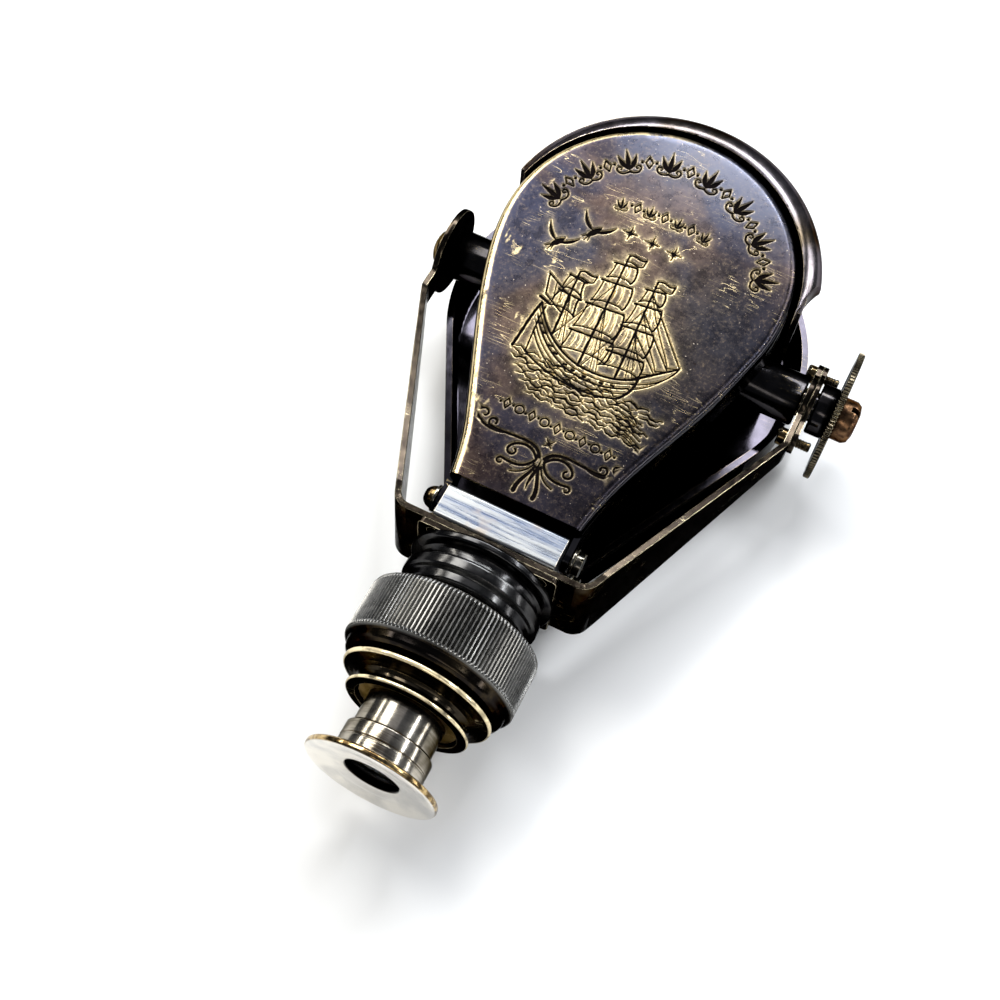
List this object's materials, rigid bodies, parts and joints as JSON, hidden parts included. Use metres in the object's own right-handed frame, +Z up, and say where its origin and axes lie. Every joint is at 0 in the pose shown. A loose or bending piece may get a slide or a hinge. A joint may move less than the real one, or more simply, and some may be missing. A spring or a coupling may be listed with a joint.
{
  "type": "folding pocket monocular",
  "caption": "Folding pocket monocular: teardrop covers and a lens cell in a U yoke, thumbwheel, knurled focusing ring, sliding eyepiece.",
  "frame": {"origin": "on the flat underside of the bottom casing, straight below the trunnion axis", "axes": "+Y along the optical axis from the eyecup to the wide end, +Z up through the engraved top cover, +X to the thumbwheel"},
  "size_m": [0.092, 0.1474, 0.0411],
  "materials": {
    "cover_brass": "antique brass with a dark mauve-brown patina, rubbed bright at the edges, engraved",
    "black_lacquer": "black mirror-gloss lacquer over sheet brass",
    "barrel_black": "black satin-gloss lacquer",
    "dark_bronze": "dark bronzed brass with rubbed golden edges",
    "knurl_black": "blackened brass, straight knurl with worn ridges",
    "polished_brass": "turned and polished dark brass",
    "pale_brass": "bright polished pale brass",
    "inner_brass": "plain turned brass",
    "brushed_block": "bright brushed along its length",
    "screw_brass": "polished brass",
    "screw_steel": "turned steel",
    "copper_screw": "copper-brown bronze",
    "lens_glass": "clear polished glass"
  },
  "bodies": {
    "frame": {"yoke": "dark_bronze", "yoke_base_plate": "dark_bronze", "hinge_block": "brushed_block", "collar": "knurl_black", "guide_tube": "inner_brass", "tube_retaining_ring": "inner_brass", "block_screws": "screw_brass", "pivot_washers": "screw_steel", "left_pivot_screws": "screw_brass", "right_pivot_screws": "screw_steel", "bearing_plate": "dark_bronze", "bearing_plate_screws": "screw_brass"},
    "focus_drive": {"focus_ring": "knurl_black", "focus_cap": "polished_brass"},
    "eyepiece": {"draw_tube": "polished_brass", "eye_sleeve": "polished_brass", "eyecup": "pale_brass", "eye_lens": "lens_glass", "eye_lens_ring": "inner_brass", "field_stop": "inner_brass", "field_lens": "lens_glass", "field_lens_ring": "inner_brass", "drive_pin": "screw_steel"},
    "objective_cell": {"cell_barrel": "barrel_black", "crown_lens": "lens_glass", "flint_lens": "lens_glass", "objective_retaining_ring": "inner_brass", "left_trunnion": "barrel_black", "left_trunnion_washer": "dark_bronze", "left_trunnion_screw": "screw_brass", "right_trunnion": "barrel_black", "thumbwheel_hub": "barrel_black", "thumbwheel": "dark_bronze", "thumbwheel_screw": "copper_screw"},
    "top_shell": {"top_cover": "cover_brass"},
    "bottom_shell": {"bottom_casing": "black_lacquer", "front_guard": "black_lacquer"}
  },
  "joints": [
    {"name": "cell_tilt", "type": "hinge", "parent": "frame", "child": "objective_cell", "pos_m": [0, 0, 0.0185], "axis": [1, 0, 0], "range_deg": [0, 90]},
    {"name": "top_cover_hinge", "type": "hinge", "parent": "frame", "child": "top_shell", "pos_m": [0, -0.0555, 0.0235], "axis": [1, 0, 0], "range_deg": [0, 18]},
    {"name": "bottom_cover_hinge", "type": "hinge", "parent": "frame", "child": "bottom_shell", "pos_m": [0, -0.0555, 0.0135], "axis": [-1, 0, 0], "range_deg": [0, 18]},
    {"name": "focus_turn", "type": "hinge", "parent": "frame", "child": "focus_drive", "pos_m": [0, -0.08, 0.0185], "axis": [0, 1, 0], "range_deg": [-150, 150]},
    {"name": "draw_slide", "type": "slide", "parent": "frame", "child": "eyepiece", "axis": [0, -1, 0], "range_m": [-0.003, 0.003]}
  ],
  "couplings": [
    {"joint": "top_cover_hinge", "follows": "cell_tilt", "ratio": 0.2},
    {"joint": "bottom_cover_hinge", "follows": "cell_tilt", "ratio": 0.2},
    {"joint": "draw_slide", "follows": "focus_turn", "m_per_rad": 0.00114}
  ]
}
